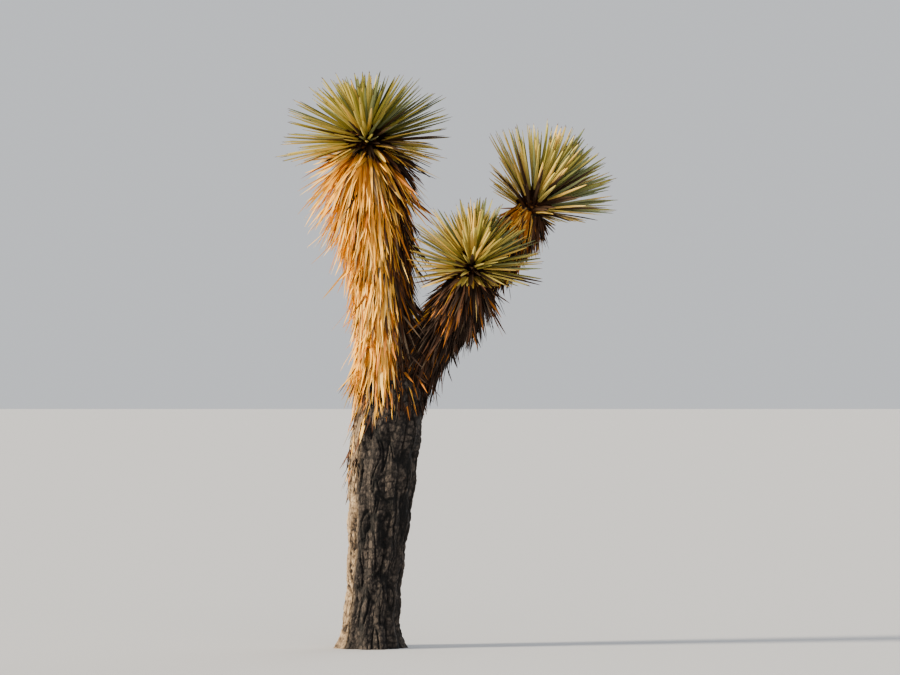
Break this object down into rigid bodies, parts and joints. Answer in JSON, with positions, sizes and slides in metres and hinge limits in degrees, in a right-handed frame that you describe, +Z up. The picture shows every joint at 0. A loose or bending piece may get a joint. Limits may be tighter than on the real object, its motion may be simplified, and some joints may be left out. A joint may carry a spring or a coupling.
{
  "type": "joshua tree",
  "caption": "Young joshua tree rooted in the ground, with a leaning trunk, forked boughs, rosettes of dagger leaves and skirts of dead leaves.",
  "frame": {"origin": "middle of the flat cut under the trunk, at ground level", "axes": "+Z up along the tree, +X towards the right bough, +Y away from the viewer of the picture"},
  "size_m": [1.8057, 1.0107, 3.0266],
  "materials": {
    "bark": "furrowed grey-brown bark",
    "live_leaf": "waxy olive green leaf",
    "dead_leaf": "dry straw-brown leaf"
  },
  "bodies": {
    "root": {"trunk": "bark", "leader": "bark", "right_bough": "bark", "front_bough": "bark", "crown_left": "live_leaf", "crown_right": "live_leaf", "crown_front": "live_leaf", "leader_skirt_upper": "dead_leaf", "leader_skirt_lower": "dead_leaf", "right_skirt_upper": "dead_leaf", "right_skirt_lower": "dead_leaf", "front_skirt": "dead_leaf"}
  },
  "joints": []
}
